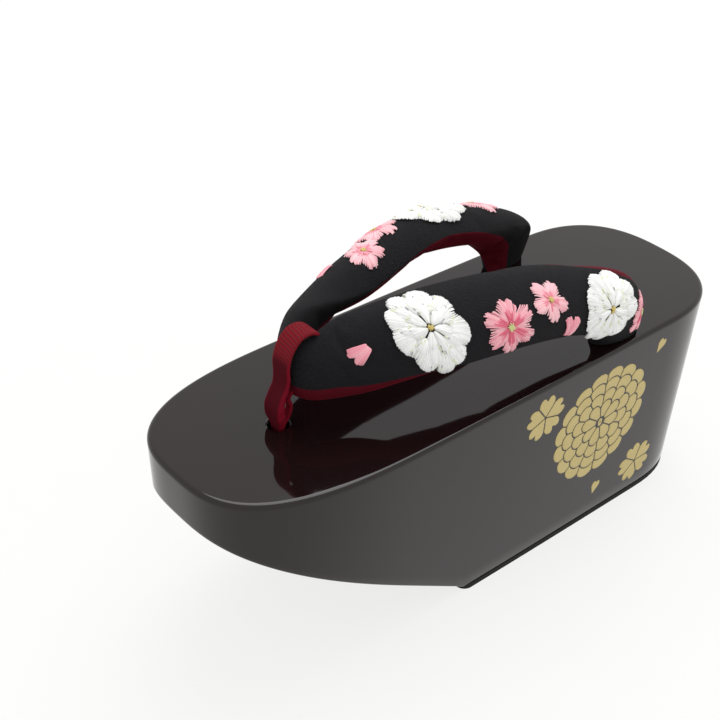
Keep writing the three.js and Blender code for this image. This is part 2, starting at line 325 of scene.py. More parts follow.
# %% Helper for meshes
class Shell:
    """Collects the points, faces, finishes and UVs of one piece, in millimetres."""

    def __init__(self):
        self.points = []
        self.faces = []
        self.slots = []
        self.places = []
        self.loops = []

    def ring(self, points):
        first = len(self.points)
        self.points.extend(tuple(float(value) for value in point) for point in points)
        return list(range(first, len(self.points)))

    def face(self, corners, slot=0, places=None):
        self.faces.append(tuple(corners))
        self.slots.append(slot)
        self.places.append(places or [(0.0, 0.0)] * len(corners))

    def bridge(self, lower, upper):
        count = len(lower)
        for k in range(count):
            after = (k + 1) % count
            self.face((lower[k], lower[after], upper[after], upper[k]))

    def fan(self, ring, slot=0):
        centre = np.mean([self.points[k] for k in ring], axis=0)
        hub = self.ring([centre])[0]
        for k in range(len(ring)):
            self.face((ring[k], ring[(k + 1) % len(ring)], hub), slot)

    def sleeve(self, grid, along, around, slot_of):
        """Skins sections by points and closes both ends. `slot_of` gives a column's finish."""
        count = grid.shape[1]
        rings = [self.ring(section) for section in grid]
        for s in range(len(rings) - 1):
            for k in range(count):
                after = (k + 1) % count
                corners = (rings[s][k], rings[s][after], rings[s + 1][after], rings[s + 1][k])
                places = [
                    (along[s], around[s][k]), (along[s], around[s][k + 1]),
                    (along[s + 1], around[s + 1][k + 1]), (along[s + 1], around[s + 1][k]),
                ]
                self.face(corners, slot_of(k), places)
        self.fan(rings[0], slot_of(count - 1))
        self.fan(rings[-1], slot_of(count - 1))

    def fill(self, *rings):
        """Leaves a flat patch, bounded by these rings, to be filled at the end."""
        self.loops.append(rings)

    def made(self, name, finishes):
        mesh = bpy.data.meshes.new(name)
        mesh.from_pydata([tuple(v * MM for v in p) for p in self.points], [], self.faces)
        for finish in finishes:
            mesh.materials.append(finish)
        layer = mesh.uv_layers.new(name="cloth")
        corner = 0
        for polygon, slot, places in zip(mesh.polygons, self.slots, self.places):
            polygon.material_index = slot
            for place in places:
                layer.data[corner].uv = place
                corner += 1
        work = bmesh.new()
        work.from_mesh(mesh)
        work.verts.ensure_lookup_table()
        for rings in self.loops:
            edges = []
            for ring in rings:
                for k in range(len(ring)):
                    pair = (work.verts[ring[k]], work.verts[ring[(k + 1) % len(ring)]])
                    edges.append(work.edges.get(pair) or work.edges.new(pair))
            bmesh.ops.triangle_fill(work, use_beauty=True, use_dissolve=False, edges=edges)
        bmesh.ops.recalc_face_normals(work, faces=work.faces)
        work.to_mesh(mesh)
        work.free()
        mesh.shade_smooth()
        piece = bpy.data.objects.new(name, mesh)
        bpy.context.scene.collection.objects.link(piece)
        return piece


def length_along(line):
    """How far each point of a line is from its first point."""
    return np.concatenate([[0], np.cumsum(np.linalg.norm(np.diff(line, axis=0), axis=1))])


def open_edges(piece):
    """How many edges of a piece don't have exactly two faces."""
    work = bmesh.new()
    work.from_mesh(piece.data)
    count = sum(1 for edge in work.edges if len(edge.link_faces) != 2)
    work.free()
    return count


# %% [markdown]
# ## The platform
# The block is cut from paulownia wood, planed along the sides, cut away under the toe, and
# lacquered until it shines like a mirror. A mirror shows every facet, so the platform is built
# again here from the CAD's own rule with many more steps: two quarter super-ellipses joined by
# nearly straight sides, a rounded rim, walls that lean in, and a flat undercut. A narrow flat
# strip beside each rounded edge keeps the big faces perfectly flat in the reflections.

# %% Draw the plan of the platform
LENGTH, WIDTH_TOE, WIDTH_HEEL = 235.0, 80.5, 77.0
TOP, TOE_THICKNESS, WOOD_BOTTOM = 83.0, 17.0, 2.5
TOE_Y, HEEL_Y = -LENGTH / 2, LENGTH / 2
UNDERCUT_Y = TOE_Y + 99.0
TOE_END, TOE_POWER = 75.5, 2.92
HEEL_END, HEEL_POWER = 40.0, 2.55
SIDE_BULGE, WALL_LEAN = 0.9, 0.045
QUARTER_STEPS, SIDE_STEPS = 48, 15


def half_width(y):
    along = (y - TOE_Y) / LENGTH
    return (WIDTH_TOE + (WIDTH_HEEL - WIDTH_TOE) * along) / 2 + SIDE_BULGE * 4 * along * (1 - along)


def plan_side():
    """The outer side of the plan, from the toe tip to the heel."""
    turn = np.linspace(0, math.pi / 2, QUARTER_STEPS + 1)
    heel_from = HEEL_Y - HEEL_END
    toe_share = np.sin(turn) ** (2 / TOE_POWER)
    toe_y = TOE_Y + TOE_END * (1 - np.cos(turn) ** (2 / TOE_POWER))
    before = np.linspace(toe_y[-1], UNDERCUT_Y, SIDE_STEPS // 3 + 1)[1:-1]
    after = np.linspace(UNDERCUT_Y, heel_from, SIDE_STEPS + 1)[:-1]
    heel_share = np.abs(np.cos(turn)) ** (2 / HEEL_POWER)
    heel_share[-1] = 0
    heel_y = heel_from + HEEL_END * np.sin(turn) ** (2 / HEEL_POWER)
    y = np.concatenate([toe_y, before, after, heel_y])
    share = np.concatenate([toe_share, np.ones(len(before) + len(after)), heel_share])
    return np.column_stack([share * half_width(y), y])


def normals_of(plan):
    """The outward direction at each point of a closed anticlockwise plan."""
    run = np.roll(plan, -1, axis=0) - np.roll(plan, 1, axis=0)
    run /= np.linalg.norm(run, axis=1)[:, None]
    return np.column_stack([run[:, 1], -run[:, 0]])


def underside(y):
    """Height of the underside: flat at the back, rising to the toe in the undercut."""
    rise = (TOP - TOE_THICKNESS - WOOD_BOTTOM) / (UNDERCUT_Y - TOE_Y)
    return WOOD_BOTTOM + rise * np.maximum(UNDERCUT_Y - np.asarray(y, float), 0)


SIDE = plan_side()
PLAN = np.vstack([SIDE, SIDE[-2:0:-1] * (-1, 1)])
OUTWARD = normals_of(PLAN)
print("plan points:", len(PLAN))

# %% [markdown]
# ### From the plan to the block
# Each row of the block is the plan, moved inwards by the lean of the wall and by the round of an
# edge. The undercut makes a row's height depend on where it is along the sandal, so a row is
# settled in a few rounds. The three holes have a rounded mouth, because lacquer wears off a sharp
# edge. The front one goes through to the undercut, where its edge is left sharp, and the rear
# ones are blind.

# %% Build the platform
RIM_RADIUS, EDGE_RADIUS, FLAT_STRIP = 1.6, 0.7, 0.5
ROUND_STEPS, EDGE_STEPS, MOUTH_STEPS = 6, 3, 3
WALL_SHARES = (0.0, 0.15, 0.35, 0.55, 0.75, 0.93, 1.0)      # rows down the wall
SETTLING_ROUNDS = 12
FRONT_HOLE = (0.0, -75.8, 3.6)
REAR_HOLES = ((30.0, 54.5, 4.8), (-30.0, 54.5, 4.8))
REAR_HOLE_DEPTH = 14.0
HOLE_EDGE, HOLE_STRIP = 0.6, 0.3


def wall_row(height_of, extra=0.0):
    """A ring on the leaning wall, whose height may depend on where it comes out."""
    inset = np.zeros(len(PLAN))
    for _ in range(SETTLING_ROUNDS):
        y = PLAN[:, 1] - OUTWARD[:, 1] * inset
        z = height_of(y)
        inset = WALL_LEAN * (TOP - z) + extra
    spot = PLAN - OUTWARD * inset[:, None]
    return np.column_stack([spot, z])


def circle(x, y, radius, height_of, steps=40):
    turn = np.linspace(0, 2 * math.pi, steps, endpoint=False)
    ring_y = y + radius * np.sin(turn)
    return np.column_stack([x + radius * np.cos(turn), ring_y, height_of(ring_y)])


def level_at(height):
    return lambda y: np.full(len(y), height)


def hole_rings(shell, x, y, radius):
    """The rounded mouth of a hole in the top. Returns its first and last ring."""
    rings = [shell.ring(circle(x, y, radius + HOLE_EDGE + HOLE_STRIP, level_at(TOP)))]
    for step in range(MOUTH_STEPS + 1):
        angle = math.pi / 2 * step / MOUTH_STEPS
        out = radius + HOLE_EDGE * (1 - math.sin(angle))
        height = TOP - HOLE_EDGE * (1 - math.cos(angle))
        rings.append(shell.ring(circle(x, y, out, level_at(height))))
    for lower, upper in zip(rings, rings[1:]):
        shell.bridge(lower, upper)
    return rings[0], rings[-1]


def build_platform():
    shell = Shell()
    rows = [wall_row(level_at(TOP), RIM_RADIUS + FLAT_STRIP)]
    for step in range(ROUND_STEPS + 1):
        angle = math.pi / 2 * (1 - step / ROUND_STEPS)
        drop = RIM_RADIUS * (1 - math.sin(angle))
        rows.append(wall_row(level_at(TOP - drop), RIM_RADIUS * (1 - math.cos(angle))))
    foot = lambda y: underside(y) + EDGE_RADIUS
    rim_foot = TOP - RIM_RADIUS - FLAT_STRIP
    for share in WALL_SHARES:
        rows.append(wall_row(lambda y, share=share: rim_foot + (foot(y) - rim_foot) * share))
    for step in range(1, EDGE_STEPS + 1):
        angle = math.pi / 2 * step / EDGE_STEPS
        rows.append(wall_row(
            lambda y, angle=angle: underside(y) + EDGE_RADIUS * (1 - math.sin(angle)),
            EDGE_RADIUS * (1 - math.cos(angle))))
    rows.append(wall_row(underside, EDGE_RADIUS + FLAT_STRIP))
    rings = [shell.ring(row) for row in rows]
    for upper, lower in zip(rings, rings[1:]):
        shell.bridge(upper, lower)

    mouths = []
    mouth, throat = hole_rings(shell, *FRONT_HOLE)
    mouths.append(mouth)
    exit_ring = shell.ring(circle(*FRONT_HOLE, underside))
    shell.bridge(throat, exit_ring)
    for hole in REAR_HOLES:
        mouth, throat = hole_rings(shell, *hole)
        mouths.append(mouth)
        floor_ring = shell.ring(circle(*hole, level_at(TOP - REAR_HOLE_DEPTH)))
        shell.bridge(throat, floor_ring)
        shell.fan(floor_ring)
    shell.fill(rings[0], *mouths)

    base = rings[-1]
    corner = int(np.argmin(np.abs(SIDE[:, 1] - UNDERCUT_Y)))
    mirrored = len(PLAN) - corner
    shell.fill(base[:corner + 1] + base[mirrored:], exit_ring)
    shell.fill(base[corner:mirrored + 1])
    return shell.made("lacquered_platform", [LACQUER])


platform = build_platform()
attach(platform, "root")
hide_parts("platform")
print("platform faces:", len(platform.data.polygons), "open edges:", open_edges(platform))

# %% [markdown]
# ## The ground sole
# A thin sheet of rubber is glued under the part that stands on the floor. Its CAD shape is
# already right, so the CAD node stays and only takes the rubber finish.

# %% Finish the ground sole
ground_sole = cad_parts["ground_sole"]
ground_sole.data.materials.clear()
ground_sole.data.materials.append(RUBBER)

# %% [markdown]
# ## The straps
# A strap is a tube of crepe and velvet, stuffed with wadding. Its two seams run along the lower
# and the upper edge: crepe between them on the outside, velvet on the side of the foot. The same
# rows as in the CAD give the seams. The tube starts a little slack, and a cloth simulation then
# inflates it against its sewn seams, which is what wadding does.

# %% Rows of the two straps
# Each row: outer (lower) seam, inner (upper) seam, both as across, along and height above the
# platform, then how far the crepe and the lining stand out from the line between the seams.
OUTER_STRAP = [
    ((-3, -69.5, 9.2), (-2.5, -68.5, 29), 4.2, 2.5),
    ((4.5, -66, 9.3), (2.1, -65.5, 31), 7.6, 3.5),
    ((14, -52, 9.8), (1.3, -55.5, 33.5), 8.6, 5),
    ((28.5, -29, 17.5), (1.8, -29.5, 33), 10.6, 5.5),
    ((35, -1, 18), (9.5, 7.5, 32), 11, 5.5),
    ((36, 25, 12.5), (15.5, 36.5, 27.5), 10.5, 5.5),
    ((33.5, 41, 4.5), (28, 61, 20), 9.5, 5),
    ((28.5, 42, -2), (33.5, 64.5, -2), 6, 4.5),
]
INNER_STRAP = [
    ((-3, -69.5, 13.5), (-2.5, -68.5, 29), 4, 2.5),
    ((4.5, -66, 12), (4.6, -65.5, 30.5), 6, 3.5),
    ((17, -51.5, 11), (8.9, -57, 33), 8.5, 4.3),
    ((31.5, -28, 19.5), (10.7, -30, 29), 10.5, 4.7),
    ((36.5, 1, 22), (17, 10, 33), 11, 4.7),
    ((36, 28.5, 19), (16, 40, 26.5), 10.5, 4.7),
    ((31.5, 44, 8.5), (21.5, 62, 18), 9.5, 4.7),
    ((27, 47, -2), (31.5, 68, -2), 6.5, 4.5),
]
SECTIONS, AROUND = 104, 44

# Where the crepe ends, as an angle round the section, at shares along the strap. 0 is the upper
# seam of the CAD form and 180 the lower one: below 0 and above 180 the crepe wraps under.
CREPE_EDGES = {
    "outer": {
        "shares": (0.0, 0.1, 0.14, 0.22, 0.3, 0.36, 0.42, 0.5, 0.62, 0.68, 0.77, 0.82, 0.88, 1.0),
        "upper": (0, 0, 0, 0, 0, 0, 0, 0, 14, 34, 37, 40, 18, 0),
        "lower": (112, 112, 114, 121, 136, 154, 174, 190, 202, 206, 214, 220, 226, 228),
    },
    "inner": {
        "shares": (0.0, 0.28, 0.36, 0.4, 0.44, 0.52, 0.6, 0.66, 0.72, 0.8, 0.9, 0.96, 1.0),
        "upper": (-110, -96, -74, -50, -20, -12, -2, -4, -32, -74, -98, -105, -112),
        "lower": (180, 180, 180, 180, 180, 180, 180, 180, 182, 186, 190, 190, 190),
    },
}


def crepe_edge(name, edge, shares):
    """The angle of one edge of the crepe, in degrees, at shares along a strap."""
    table = CREPE_EDGES[name]
    return np.interp(shares, table["shares"], table[edge])


def smooth_line(points, positions):
    """A centripetal Catmull-Rom curve through the points, read at shares from 0 to 1."""
    points = np.asarray(points, float)
    ends = np.vstack([2 * points[0] - points[1], points, 2 * points[-1] - points[-2]])
    last = len(points) - 1
    found = []
    for position in positions:
        at = min(int(position * last), last - 1)
        t = position * last - at
        p0, p1, p2, p3 = ends[at:at + 4]
        spans = ((p0, p1), (p1, p2), (p2, p3))
        d0, d1, d2 = (max(np.linalg.norm(b - a) ** 0.5, 1e-4) for a, b in spans)
        m1 = ((p1 - p0) / d0 - (p2 - p0) / (d0 + d1) + (p2 - p1) / d1) * d1
        m2 = ((p2 - p1) / d1 - (p3 - p1) / (d1 + d2) + (p3 - p2) / d2) * d1
        square = (3 * (p2 - p1) - 2 * m1 - m2) * t ** 2
        cube = (2 * (p1 - p2) + m1 + m2) * t ** 3
        found.append(p1 + m1 * t + square + cube)
    return np.array(found)


def strap_grid(name, rows, side, slack):
    """Sections of a strap by points round each, in millimetres. The first half of each section
    is crepe, from its upper to its lower edge, and the second half is velvet."""
    positions = np.linspace(0, 1, SECTIONS)
    stations = np.linspace(0, 1, len(rows))
    lift = np.array((0, 0, TOP))
    outer = smooth_line([row[0] for row in rows], positions) + lift
    inner = smooth_line([row[1] for row in rows], positions) + lift
    crown = np.interp(positions, stations, [row[2] for row in rows]) - slack
    lining = np.interp(positions, stations, [row[3] for row in rows]) - slack
    middle, half = (outer + inner) / 2, (inner - outer) / 2
    ahead = np.gradient(middle, axis=0)
    outwards = np.cross(ahead, half)
    outwards /= np.linalg.norm(outwards, axis=1)[:, None]
    upper, lower = crepe_edge(name, "upper", positions), crepe_edge(name, "lower", positions)
    share = np.linspace(0, 1, AROUND // 2, endpoint=False)
    crepe = upper[:, None] + (lower - upper)[:, None] * share
    velvet = lower[:, None] + (360 + upper - lower)[:, None] * share
    angles = np.radians(np.hstack([crepe, velvet]))
    rise = np.sin(angles)
    depth = np.where(rise > 0, crown[:, None] * rise, lining[:, None] * rise)
    grid = (middle[:, None] + half[:, None] * np.cos(angles)[..., None]
            + outwards[:, None] * depth[..., None])
    return grid * (side, 1, 1)


def grid_normals(grid, side):
    """The outward direction at each point of a strap grid."""
    along = np.gradient(grid, axis=0)
    around = np.roll(grid, -1, axis=1) - np.roll(grid, 1, axis=1)
    normal = np.cross(around, along) * side
    return normal / np.linalg.norm(normal, axis=2)[..., None]


# %% [markdown]
# ### Wadding by cloth simulation
# The seams and both ends are pinned. The cloth is made slightly too large for its frame, as sewn
# cloth is, so that it bulges softly and puckers a little along the seams. The movement is capped,
# so that the strap stays in the room that the CAD gives it.

# %% Inflate a strap
PRESSURE, CLOTH_EXCESS, CAP = 4.0, 0.012, 1.3
SIM_SCALE, SIM_STEPS = 20.0, 20     # the solver works best on pieces a few metres long


def inflate(grid):
    """Runs the cloth simulation on one strap and returns its new grid."""
    shell = Shell()
    rings = [shell.ring(section) for section in grid * SIM_SCALE]
    for lower, upper in zip(rings, rings[1:]):
        shell.bridge(lower, upper)
    shell.fan(rings[0])
    shell.fan(rings[-1])
    pad = shell.made("wadding", [])
    pins = pad.vertex_groups.new(name="sewn")
    for s, ring in enumerate(rings):
        for k, corner in enumerate(ring):
            sewn = k in (0, AROUND // 2) or s < 2 or s > SECTIONS - 3
            pins.add([corner], 1.0 if sewn else 0.0, "REPLACE")
    pins.add(range(SECTIONS * AROUND, len(pad.data.vertices)), 1.0, "REPLACE")
    cloth = pad.modifiers.new("wadding", "CLOTH")
    cloth.settings.quality = 5
    cloth.settings.mass = 0.3
    cloth.settings.tension_stiffness = 15
    cloth.settings.compression_stiffness = 15
    cloth.settings.bending_stiffness = 8.0
    cloth.settings.use_pressure = True
    cloth.settings.uniform_pressure_force = PRESSURE
    cloth.settings.shrink_min = -CLOTH_EXCESS
    cloth.settings.effector_weights.gravity = 0
    cloth.settings.vertex_group_mass = "sewn"
    cloth.point_cache.frame_start = 1
    cloth.point_cache.frame_end = SIM_STEPS
    for step in range(1, SIM_STEPS + 1):
        bpy.context.scene.frame_set(step)
    settled = pad.evaluated_get(bpy.context.evaluated_depsgraph_get())
    moved = np.empty(len(settled.data.vertices) * 3)
    settled.data.vertices.foreach_get("co", moved)
    moved = moved.reshape(-1, 3)[:SECTIONS * AROUND].reshape(grid.shape) / (SIM_SCALE * MM)
    bpy.data.objects.remove(pad)
    bpy.context.scene.frame_set(1)
    change = moved - grid
    size = np.linalg.norm(change, axis=2)
    print("wadding moved the cloth by mm:", size.mean().round(2), "to", size.max().round(2))
    kept = CAP * np.tanh(size / CAP) / np.maximum(size, 1e-9)
    return grid + change * kept[..., None]


# %% [markdown]
# ### Both straps
# The inner strap is drawn as if it were an outer one and mirrored across the sandal. Each form
# starts a little slack, so that the wadding fills it to its true size.

# %% Sew and stuff both straps
SLACK = 0.9          # millimetres
strap_forms = {}
for name, rows, side in (("outer", OUTER_STRAP, 1), ("inner", INNER_STRAP, -1)):
    form = strap_grid(name, rows, side, SLACK)
    form = inflate(form)
    strap_forms[name] = {"grid": form, "side": side}
print("strap sections:", SECTIONS, "points round each:", AROUND)

# %% [markdown]
# ### Creases
# The few folds that show are listed as soft troughs. Each runs along a line from one place
# on the strap to another, given as the share along it and the angle round it, and fades out at
# both ends. Short ones fan out from the thong, which pulls the cloth in. The others lie where
# each strap bends down to its hole, across the lining and the inside of the bend.

# %% Press the creases in
def grid_read(grid, s, k):
    """Reads a strap grid between its points. It closes on itself round the section."""
    s = np.clip(s, 0, SECTIONS - 1.001)
    s0, k0 = int(s), int(math.floor(k))
    ahead, across = s - s0, k - k0
    k0, k1 = k0 % AROUND, (k0 + 1) % AROUND
    near = grid[s0, k0] * (1 - across) + grid[s0, k1] * across
    far = grid[s0 + 1, k0] * (1 - across) + grid[s0 + 1, k1] * across
    return near * (1 - ahead) + far * ahead


def column_at(name, share, angle):
    """The grid column at an angle round the section."""
    upper = float(crepe_edge(name, "upper", share))
    lower = float(crepe_edge(name, "lower", share))
    if angle <= lower:
        return (angle - upper) / (lower - upper) * AROUND / 2
    return AROUND / 2 * (1 + (angle - lower) / (360 + upper - lower))


# Each row: strap, (share, angle) at one end, (share, angle) at the other, reach to each side, depth.
CREASES = [
    ("outer", (0.05, 60), (0.17, 82), 1.3, 0.35),
    ("outer", (0.06, 85), (0.15, 112), 1.2, 0.3),
    ("outer", (0.08, 30), (0.2, 48), 1.4, 0.35),
    ("outer", (0.84, 160), (0.92, 110), 1.8, 0.4),
    ("outer", (0.9, 190), (0.96, 130), 1.6, 0.35),
    ("outer", (0.78, 285), (0.86, 250), 1.8, 0.5),
    ("inner", (0.05, 70), (0.2, 100), 1.4, 0.45),
    ("inner", (0.1, 40), (0.24, 62), 1.5, 0.45),
    ("inner", (0.14, 100), (0.26, 135), 1.5, 0.4),
    ("inner", (0.72, 352), (0.8, 300), 1.6, 0.55),
    ("inner", (0.77, 330), (0.86, 285), 1.6, 0.5),
    ("inner", (0.68, 20), (0.76, 345), 1.5, 0.45),
    ("inner", (0.8, 60), (0.88, 20), 1.8, 0.5),
    ("inner", (0.86, 110), (0.95, 60), 1.8, 0.4),
]


CREASE_STEPS = 15


def press(grid, normals, name, start, end, breadth, depth):
    """Presses one crease into a strap grid, down along its normals."""
    line, strength = [], []
    for step in np.linspace(0, 1, CREASE_STEPS):
        share = start[0] + (end[0] - start[0]) * step
        angle = start[1] + (end[1] - start[1]) * step
        line.append(grid_read(grid, share * (SECTIONS - 1), column_at(name, share, angle)))
        strength.append(math.sin(math.pi * step))
    gaps = np.linalg.norm(grid[:, :, None] - np.array(line), axis=3)
    fall = (np.exp(-(gaps / breadth) ** 2) * np.array(strength)).max(axis=2)
    return grid - normals * (fall * depth)[..., None]


for name, start, end, breadth, depth in CREASES:
    form = strap_forms[name]
    normals = grid_normals(form["grid"], form["side"])
    form["grid"] = press(form["grid"], normals, name, start, end, breadth, depth)
print("creases pressed:", len(CREASES))

# %% [markdown]
# ### One upper
# The two tubes are joined at the front, where they are sewn together, and cut level where they
# stand on the platform. A short round end goes down each rear hole.

# %% Join the straps
SEAT = 0.25          # the straps stand this far above the lacquer
STEM_RADIUS, STEM_DEPTH, STEM_RISE, STEM_SIDES = 4.4, 12.0, 3, 32


def length_around(grid):
    """How far each point of a section is from its first point, going round and back to it."""
    closed = np.concatenate([grid, grid[:, :1]], axis=1)
    steps = np.linalg.norm(np.diff(closed, axis=1), axis=2)
    return np.column_stack([np.zeros(SECTIONS), np.cumsum(steps, axis=1)])


def strap_shell(name, grid):
    """The skin of one strap: crepe on the first half of each section, velvet on the second."""
    shell = Shell()
    along = length_along(grid.mean(axis=1))
    shell.sleeve(grid, along, length_around(grid), lambda k: 0 if k < AROUND // 2 else 1)
    piece = shell.made(name, [CREPE, VELVET])
    soften = piece.modifiers.new("soften", "SUBSURF")
    soften.levels = soften.render_levels = 1
    return piece


def applied(piece):
    """Replaces a piece's mesh by its evaluated one, and drops the modifiers."""
    graph = bpy.context.evaluated_depsgraph_get()
    mesh = bpy.data.meshes.new_from_object(piece.evaluated_get(graph))
    piece.modifiers.clear()
    piece.data = mesh
    return piece


def united(piece, other):
    """Joins two closed pieces into one."""
    join = piece.modifiers.new("join", "BOOLEAN")
    join.operation = "UNION"
    join.solver = "MANIFOLD"
    join.object = other
    applied(piece)
    bpy.data.objects.remove(other)
    return piece


def level_cut(piece, height):
    """Cuts a piece off below a height and closes the cut."""
    work = bmesh.new()
    work.from_mesh(piece.data)
    parts = work.verts[:] + work.edges[:] + work.faces[:]
    cut = bmesh.ops.bisect_plane(
        work, geom=parts, plane_co=(0, 0, height * MM), plane_no=(0, 0, -1), clear_outer=True)
    rims = [e for e in cut["geom_cut"] if isinstance(e, bmesh.types.BMEdge)]
    bmesh.ops.holes_fill(work, edges=rims)
    work.to_mesh(piece.data)
    work.free()


def stem(x, y):
    """The round end of a strap, from a little above the platform down into its rear hole."""
    shell = Shell()
    low = shell.ring(circle(x, y, STEM_RADIUS, level_at(TOP - STEM_DEPTH), STEM_SIDES))
    high = shell.ring(circle(x, y, STEM_RADIUS, level_at(TOP + STEM_RISE), STEM_SIDES))
    shell.bridge(low, high)
    shell.fan(low)
    shell.fan(high)
    return shell.made("stem", [CREPE, VELVET])


straps = applied(strap_shell("straps", strap_forms["outer"]["grid"]))
straps = united(straps, applied(strap_shell("inner_strap", strap_forms["inner"]["grid"])))
level_cut(straps, TOP + SEAT)
for x, y, _ in REAR_HOLES:
    straps = united(straps, stem(x, y))
straps.data.shade_smooth()
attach(straps, "root")
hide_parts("straps")
print("strap faces:", len(straps.data.polygons), "open edges:", open_edges(straps))

# %% [markdown]
# ## The front thong
# The thong is one ribbon of velvet. It comes up out of the front hole as a soft leaf, narrows at
# a waist, goes up in front of the straps, over them and down behind, and comes back under them
# as a thin leg that bows out and goes down the same hole. It is swept along that path with a
# flat section whose two edges stand up a little.

# %% Sweep the thong
# Each row: along, height above the platform, width, thickness.
THONG_PATH = [
    (-75.8, -14, 4.0, 3.4), (-75.8, -2.5, 4.2, 3.8), (-76.0, 1.0, 5.6, 4.6), (-76.9, 4.4, 8.0, 5.2),
    (-77.2, 8.0, 8.2, 4.6), (-76.2, 11.8, 7.6, 3.6), (-74.6, 15.4, 7.6, 2.8), (-74.2, 19.0, 8.4, 2.1),
    (-74.4, 24.0, 8.6, 1.8), (-72.6, 29.6, 8.6, 1.8), (-68.8, 33.3, 8.6, 1.8), (-64.2, 33.3, 8.4, 1.8),
    (-60.2, 29.6, 8.0, 1.8), (-58.8, 23.5, 7.6, 1.8), (-60.2, 16.5, 7.2, 1.8), (-64.6, 11.6, 6.6, 2.0),
    (-71.0, 12.2, 4.8, 2.4), (-72.3, 9.4, 2.8, 2.2), (-71.1, 5.8, 2.4, 2.0), (-72.2, 2.2, 2.6, 2.0),
    (-74.4, -1.2, 2.6, 1.8), (-74.8, -9.0, 2.4, 1.8),
]
THONG_STEPS, THONG_SIDES = 150, 28
EDGE_BEAD = 0.35      # how much thinner the middle of the ribbon is than its edges
THONG_LAP = 20        # what the UV map counts once round the ribbon


def build_thong():
    path = np.array(THONG_PATH, float)
    positions = np.linspace(0, 1, THONG_STEPS)
    centre = smooth_line(np.column_stack([np.zeros(len(path)), path[:, :2]]), positions)
    centre[:, 2] += TOP
    stations = np.linspace(0, 1, len(path))
    width = np.interp(positions, stations, path[:, 2])
    thick = np.interp(positions, stations, path[:, 3])
    ahead = np.gradient(centre, axis=0)
    ahead /= np.linalg.norm(ahead, axis=1)[:, None]
    across = np.tile((1.0, 0.0, 0.0), (THONG_STEPS, 1))
    face = np.cross(ahead, across)
    turn = np.linspace(0, 2 * math.pi, THONG_SIDES, endpoint=False)
    flat = np.sign(np.cos(turn)) * np.abs(np.cos(turn)) ** 0.7
    puff = np.sign(np.sin(turn)) * np.abs(np.sin(turn)) ** 0.6
    puff *= 1 - EDGE_BEAD * (1 - flat ** 2)
    grid = (centre[:, None] + across[:, None] * (flat[None, :, None] * width[:, None, None] / 2)
            + face[:, None] * (puff[None, :, None] * thick[:, None, None] / 2))
    lap = np.tile(np.linspace(0, THONG_LAP, THONG_SIDES + 1), (THONG_STEPS, 1))
    shell = Shell()
    shell.sleeve(grid, length_along(centre), lap, lambda k: 0)
    return shell.made("velvet_thong", [RIBBON])


thong = build_thong()
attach(thong, "root")
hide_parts("front_thong")
print("thong faces:", len(thong.data.polygons), "open edges:", open_edges(thong))

# %% [markdown]
# ## Finding a place on a strap
# The embroidery is drawn flat, in millimetres, and then laid on the padded cloth. `lay` takes
# points as along the strap, down round it and out from it, measured from a centre that is given
# by its share along the strap and its angle round it, and finds them on the finished form.

# %% Lay a drawing on a strap
def lay(name, share, angle, points):
    """Lays flat points (along, down, out) on a strap round a centre, all in millimetres."""
    form = strap_forms[name]
    grid, normals, around = form["grid"], form["normals"], form["around"]
    columns = np.arange(AROUND + 1)
    s0, k0 = share * (SECTIONS - 1), column_at(name, share, angle)
    line = np.array([grid_read(grid, s, k0) for s in range(SECTIONS)])
    along = length_along(line)
    origin = np.interp(s0, np.arange(SECTIONS), along)
    laid = []
    for a, b, out in points:
        s = float(np.interp(origin + a, along, np.arange(SECTIONS)))
        s = min(s, SECTIONS - 1.001)
        row = around[int(s)] * (1 - s % 1) + around[int(s) + 1] * (s % 1)
        k = float(np.interp(np.interp(k0, columns, row) + b, row, columns))
        normal = grid_read(normals, s, k)
        laid.append(grid_read(grid, s, k) + normal / np.linalg.norm(normal) * out)
    return laid


for form in strap_forms.values():
    form["normals"] = grid_normals(form["grid"], form["side"])
    form["around"] = length_around(form["grid"])
crown_faces = strap_forms["outer"]["normals"][SECTIONS // 2, AROUND // 4]
print("the middle of the outer strap faces:", crown_faces.round(2))

# %% [markdown]
# ## Embroidery
# The flowers are satin stitch: threads laid side by side, each a few millimetres long, that dive
# into the cloth at both ends. Each stitch is drawn as a short chain of edges, a little arched.
# Geometry Nodes then turns every chain into a round thread. A `shade` value on each stitch
# chooses its colour between the few silks that one flower is sewn with. On the white flowers it
# also greys the threads along each petal's edges, which is painted shade where petals meet.

# %% Silk threads
def silk_finish(name, stops):
    finish = Finish(name, Roughness=0.42, Sheen_Weight=0.15)
    shade = finish.node("ShaderNodeAttribute", {"attribute_name": "shade"}, out=2)
    fleck = finish.noise(finish.object_place(), 900.0, 2.0)
    tone = shade + (fleck - 0.5) * 0.16
    finish.feed("Base Color", finish.node("ShaderNodeValToRGB", {"stops": stops}, {0: tone}))
    finish.bump(finish.noise(finish.object_place(), 2600.0, 1.0), 0.0001, 0.4)
    return finish.material


# White silk: the grey at 0.4 is painted shade for the threads along the petals' edges; the yellow and
# the grey at 1.0 are fleck thread colours.
WHITE_SILK = silk_finish("white_silk", [
    (0.0, (0.86, 0.86, 0.85, 1)), (0.4, (0.60, 0.61, 0.58, 1)),
    (0.6, (0.72, 0.73, 0.46, 1)), (1.0, (0.36, 0.37, 0.38, 1))])
PINK_SILK = silk_finish("pink_silk", [
    (0.0, (0.84, 0.50, 0.53, 1)), (0.4, (0.76, 0.27, 0.33, 1)),
    (0.7, (0.68, 0.13, 0.20, 1)), (1.0, (0.55, 0.05, 0.11, 1))])
YELLOW_SILK = silk_finish("yellow_silk", [
    (0.0, (0.62, 0.66, 0.30, 1)), (0.5, (0.60, 0.48, 0.14, 1)), (1.0, (0.36, 0.20, 0.06, 1))])
print("silks:", WHITE_SILK.name, PINK_SILK.name, YELLOW_SILK.name)

# %% [markdown]
# ### From chains to threads
# One node tree does the work: the chain becomes a curve, the `plump` value sets its thickness at
# each point, and a small circle is swept along it. The result is made real and gets its silk.

